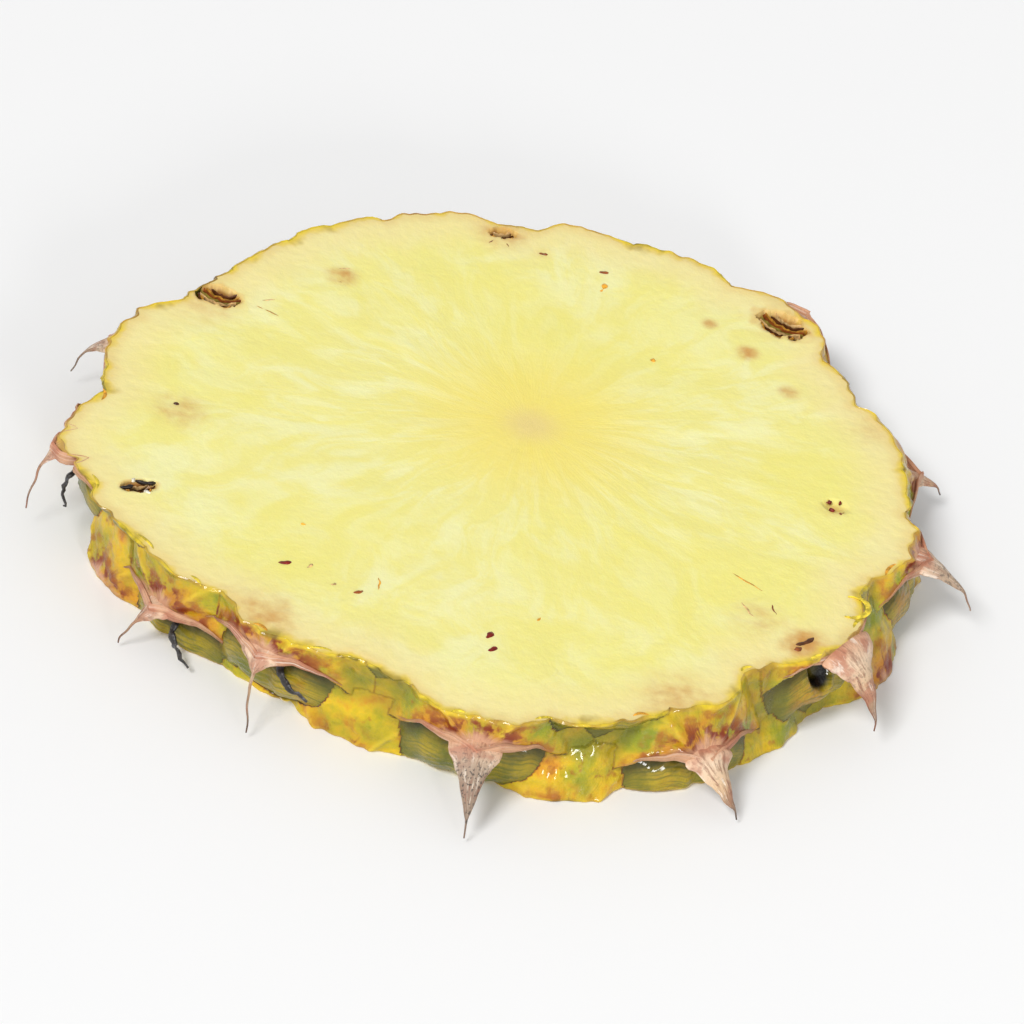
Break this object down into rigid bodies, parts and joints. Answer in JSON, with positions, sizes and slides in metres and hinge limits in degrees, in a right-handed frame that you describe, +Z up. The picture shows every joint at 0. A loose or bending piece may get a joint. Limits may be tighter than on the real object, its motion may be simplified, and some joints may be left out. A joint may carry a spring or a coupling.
{
  "type": "pineapple slice",
  "caption": "Round crosswise slice of pineapple with its core in and its rind on: pale juicy cut faces, a scalloped rind of eyes and dry hooked bracts around the edge.",
  "frame": {"origin": "centre of the slice's round outline, on the lower cut face it lies on", "axes": "+Z up through the slice, square to both cut faces; -Y towards the side with the longest bract"},
  "size_m": [0.1283, 0.1346, 0.013],
  "materials": {
    "fruit": "moist cut fruit flesh, with an olive and golden rind around the edge"
  },
  "bodies": {
    "root": {"pineapple_slice": "fruit"}
  },
  "joints": []
}
